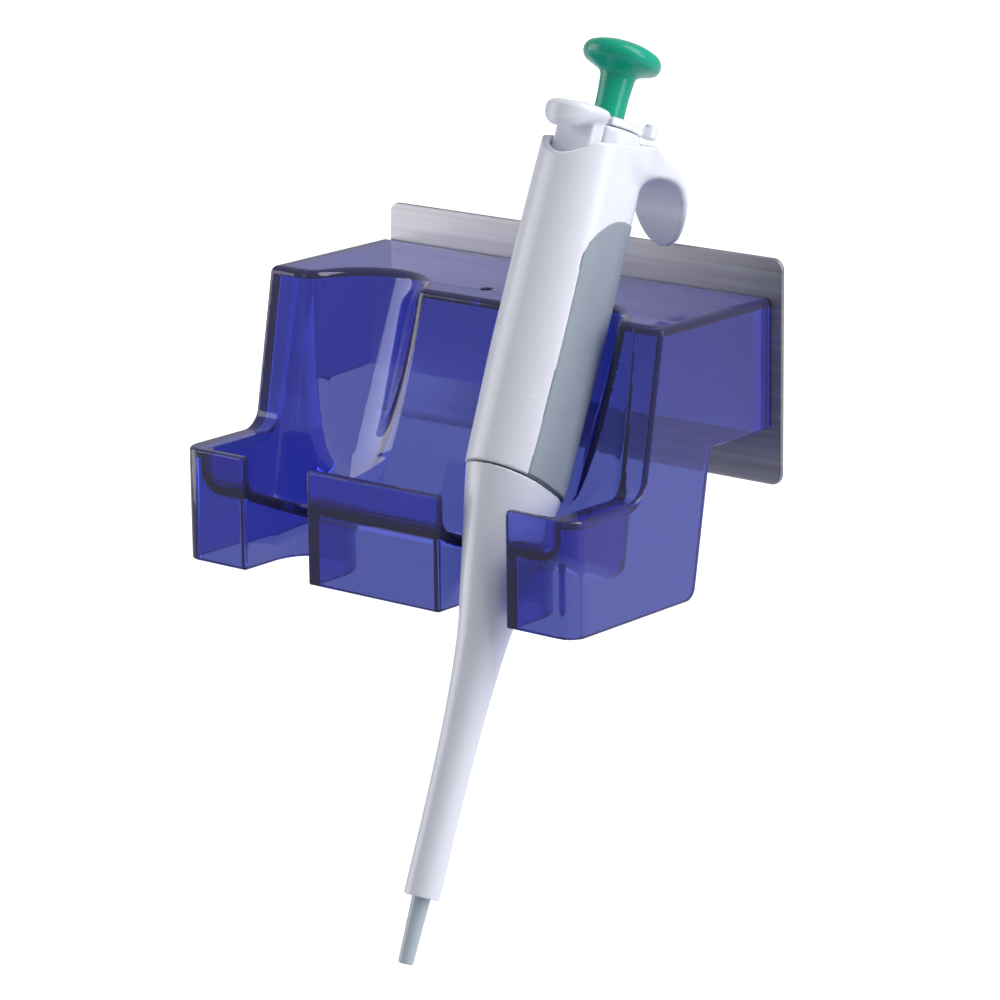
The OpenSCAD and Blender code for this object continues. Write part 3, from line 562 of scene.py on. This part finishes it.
def lever(x, y, s):
    """Ring that is wider at the back, with an arm that ends in a peg."""
    r = np.hypot(x, y)
    high = between(s, LEVER_S, LEVER_S + LEVER_T)
    ring = cut_round(r - LEVER_NARROW, high, LEVER_EDGE_R)
    past_end = x * math.sin(LEVER_TO) - y * math.cos(LEVER_TO)
    past_start = y * math.cos(LEVER_FROM) - x * math.sin(LEVER_FROM)
    wide = cut_round(r - LEVER_R + LEVER_TAPER * (s - LEVER_S), high, LEVER_EDGE_R)
    wide = cut_round(wide, -np.maximum(past_end, past_start), LEVER_END_R)
    u = x * math.cos(LEVER_TURN) + y * math.sin(LEVER_TURN)
    v = -x * math.sin(LEVER_TURN) + y * math.cos(LEVER_TURN)
    arm = cut_round(np.maximum(between(u, ARM_FROM, PEG_REACH), np.abs(v) - ARM_HALF), high, ARM_EDGE_R)
    peg = cut_round(np.hypot(u - PEG_REACH, v) - PEG_R, between(s, PEG_LOW, PEG_TOP), PEG_EDGE_R)
    body = join_round(join_round(np.minimum(ring, wide), arm, ARM_ROOT_R), peg, PEG_ROOT_R)
    return np.maximum(body, LEVER_HOLE - r)


moulded("cap", cap, (-9.5, -8, 205), (9.5, 9.5, 214.5), CAP_STEP, PIPETTE_AXES,
        "pipette", "top_cap", "white_plastic")
moulded("lock_ring", lever, (-9, -9, 214), (13, 13, 218), LEVER_STEP, PIPETTE_AXES,
        "lock", "lock_lever", "white_plastic")

# green button
BUTTON_S, BUTTON_TOP, ROD_TOP, ROD_R = 206.0, 237.0, 221.75, 2.0
HEAD_S, HEAD_LEAN, HEAD_EDGE, HEAD_BLEND = 227.5, 0.075, 9, 4
button = [(0, ROD_TOP), (ROD_R, ROD_TOP), (ROD_R, BUTTON_S), (3.7, BUTTON_S), (4.0, BUTTON_S + 0.3),
          (4.0, 217), (4.1, 223)]
button += arc((7.3, 227.0), 2.9, 180, 117, 8)
button += arc((7.5, 233.3), 2.6, -63, 60, 14)
button += [(7.6, 236.1), (6.1, 236.6), (4.0, 236.9), (2.0, BUTTON_TOP), (0, BUTTON_TOP)]
points, faces = lathe(button)
points = [(x, y, s - HEAD_LEAN * (y + HEAD_EDGE) * min(1, max(0, (s - HEAD_S) / HEAD_BLEND)))
          for x, y, s in points]
piece("button", points, faces, PIPETTE_AXES, "plunger", "push_button", "green_plastic")

# nozzle with its tip cone and bore
TIP_BORE, BORE_S, BORE_R, SEAL_S, SEAL_BORE = 0.9, 36.0, 1.95, 86.0, 3.0
nozzle = [(TIP_BORE + 0.25, 0.0), (1.75, 0.0), (1.95, 0.25), (2.4, 17.0), (2.8, 30.0), (3.1, 66.0), (3.1, 74.0),
          (4.0, 77.0), (4.0, 103.46), (4.7, 103.46), (4.7, HUB_S), (SEAL_BORE, HUB_S), (SEAL_BORE, SEAL_S),
          (BORE_R, SEAL_S), (BORE_R, BORE_S), (TIP_BORE, BORE_S), (TIP_BORE, 0.3)]
points, faces = lathe(nozzle, 64)
piece("nozzle_tube", points, faces, PIPETTE_AXES, "pipette", "nozzle", "pale_plastic")

# steel plate with rounded corners and a rolled edge
plate_low, plate_high = span("steel_plate")
PLATE_R, PLATE_EDGE, EDGE_LOOPS = 3.0, 0.25, 5


def plate_loop(y, inset):
    """Outline of the plate at depth y, drawn in by inset."""
    r = PLATE_R - inset
    loop = []
    for k, (sx, sz) in enumerate(((1, 1), (-1, 1), (-1, -1), (1, -1))):
        cx = (plate_high[0] - PLATE_R) if sx > 0 else (plate_low[0] + PLATE_R)
        cz = (plate_high[2] - PLATE_R) if sz > 0 else (plate_low[2] + PLATE_R)
        loop += [(px, y, pz) for px, pz in arc((cx, cz), r, 90 * k, 90 * k + 90, 10)]
    return loop


front, back = plate_low[1], plate_high[1]
rolled = [(PLATE_EDGE * (1 - math.cos(a)), PLATE_EDGE * (1 - math.sin(a)))
          for a in np.linspace(0, math.pi / 2, EDGE_LOOPS)]
loops = [plate_loop(front + d, inset) for d, inset in rolled]
loops += [plate_loop(back - d, inset) for d, inset in reversed(rolled)]
n = len(loops[0])
points = [p for loop in loops for p in loop]
faces = [list(range(n)), list(range(len(points) - 1, len(points) - n - 1, -1))]
for k in range(len(loops) - 1):
    faces += [[k * n + (i + 1) % n, k * n + i, (k + 1) * n + i, (k + 1) * n + (i + 1) % n] for i in range(n)]
piece("plate", points, faces, Matrix.Scale(MM, 4), "wall", "steel_plate", "brushed_steel")


# Stage: floor, light and camera

scene = bpy.context.scene
FLOOR_Z, FLOOR_HALF = -0.7, 6.0
floor_mesh = bpy.data.meshes.new("floor")
around = ((-1, -1), (1, -1), (1, 1), (-1, 1))
floor_mesh.from_pydata([(x * FLOOR_HALF, y * FLOOR_HALF, FLOOR_Z) for x, y in around], [], [(0, 1, 2, 3)])
material("floor_pale", (0.9, 0.9, 0.9), 0.8, 0.01, 0.05, 30, 0.0001, Emission_Color=(1, 1, 1, 1),
         Emission_Strength=1.0)
floor_mesh.materials.append(looks["floor_pale"])
floor = bpy.data.objects.new("floor", floor_mesh)
floor.visible_diffuse = False
floor.visible_glossy = False
floor.visible_transmission = False
scene.collection.objects.link(floor)


def softbox(name, place, size, power):
    """Rectangular light that looks at the middle of the object."""
    light = bpy.data.lights.new(name, "AREA")
    light.shape = "RECTANGLE"
    light.size, light.size_y = size
    light.energy = power
    obj = bpy.data.objects.new(name, light)
    obj.location = place
    obj.rotation_euler = (MIDDLE - Vector(place)).to_track_quat("-Z", "Y").to_euler()
    scene.collection.objects.link(obj)


MIDDLE = Vector((0.01, -0.06, 0.0))
softbox("right", (1.4, 0.1, 0.5), (0.6, 1.1), 9)
softbox("left", (-1.05, -0.6, 0.15), (0.8, 1.0), 7)
softbox("key", (0.5, 0.05, 0.72), (0.5, 0.6), 4.6)

# The camera sees plain white, and clear pieces show a grey backdrop. All else is lit by a room that is brighter
# behind and below the object. Gloss never mirrors less than SHINE.
BACKDROP, SHINE = 0.45, 0.55
world = bpy.data.worlds.new("studio")
scene.world = world
world.use_nodes = True
nodes, links = world.node_tree.nodes, world.node_tree.links


def ranged(value, from_low, from_high, to_low, to_high):
    """Value mapped from one range to another."""
    node = nodes.new("ShaderNodeMapRange")
    node.inputs["From Min"].default_value = from_low
    node.inputs["From Max"].default_value = from_high
    node.inputs["To Min"].default_value = to_low
    node.inputs["To Max"].default_value = to_high
    links.new(value, node.inputs["Value"])
    return node.outputs["Result"]


def combined(operation, a, b):
    """Two values put together by a mathematical operation."""
    node = nodes.new("ShaderNodeMath")
    node.operation = operation
    links.new(a, node.inputs[0])
    links.new(b, node.inputs[1])
    return node.outputs[0]


plain = nodes["Background"]
plain.inputs["Color"].default_value = (1, 1, 1, 1)
soft = nodes.new("ShaderNodeBackground")
soft.inputs["Color"].default_value = (0.88, 0.89, 1.0, 1)
way = nodes.new("ShaderNodeTexCoord")
parts = nodes.new("ShaderNodeSeparateXYZ")
links.new(way.outputs["Generated"], parts.inputs["Vector"])
path = nodes.new("ShaderNodeLightPath")
behind = ranged(parts.outputs["Y"], -1.0, 0.6, 0.05, 0.52)
below = ranged(parts.outputs["Z"], 0.1, -0.9, 0.0, 0.9)
mirrored = ranged(path.outputs["Is Glossy Ray"], 0.0, 1.0, 0.0, SHINE)
room = combined("MAXIMUM", combined("ADD", behind, below), mirrored)
links.new(room, soft.inputs["Strength"])
backdrop = ranged(path.outputs["Is Camera Ray"], 0.0, 1.0, BACKDROP, 1.0)
links.new(backdrop, plain.inputs["Strength"])
mix = nodes.new("ShaderNodeMixShader")
seen = combined("MAXIMUM", path.outputs["Is Camera Ray"], path.outputs["Is Transmission Ray"])
links.new(seen, mix.inputs["Fac"])
links.new(soft.outputs[0], mix.inputs[1])
links.new(plain.outputs[0], mix.inputs[2])
links.new(mix.outputs[0], nodes["World Output"].inputs["Surface"])

camera = bpy.data.cameras.new("camera")
camera.lens = 163.2
camera.sensor_width = 36
camera.clip_end = 50
eye = bpy.data.objects.new("camera", camera)
eye.matrix_world = Matrix.Translation((0.7267, -0.9115, 0.26105)) @ Matrix((
    (0.77254745, -0.15297571, 0.61625391),
    (0.63487075, 0.20209975, -0.74571766),
    (-0.01046808, 0.96734385, 0.25325145))).to_4x4()
scene.collection.objects.link(eye)
bpy.context.scene.camera = eye
scene.view_settings.view_transform = "Standard"
scene.cycles.max_bounces = 24
scene.cycles.transmission_bounces = 20
scene.cycles.glossy_bounces = 8
scene.cycles.volume_bounces = 0
scene.cycles.sample_clamp_indirect = 2.5
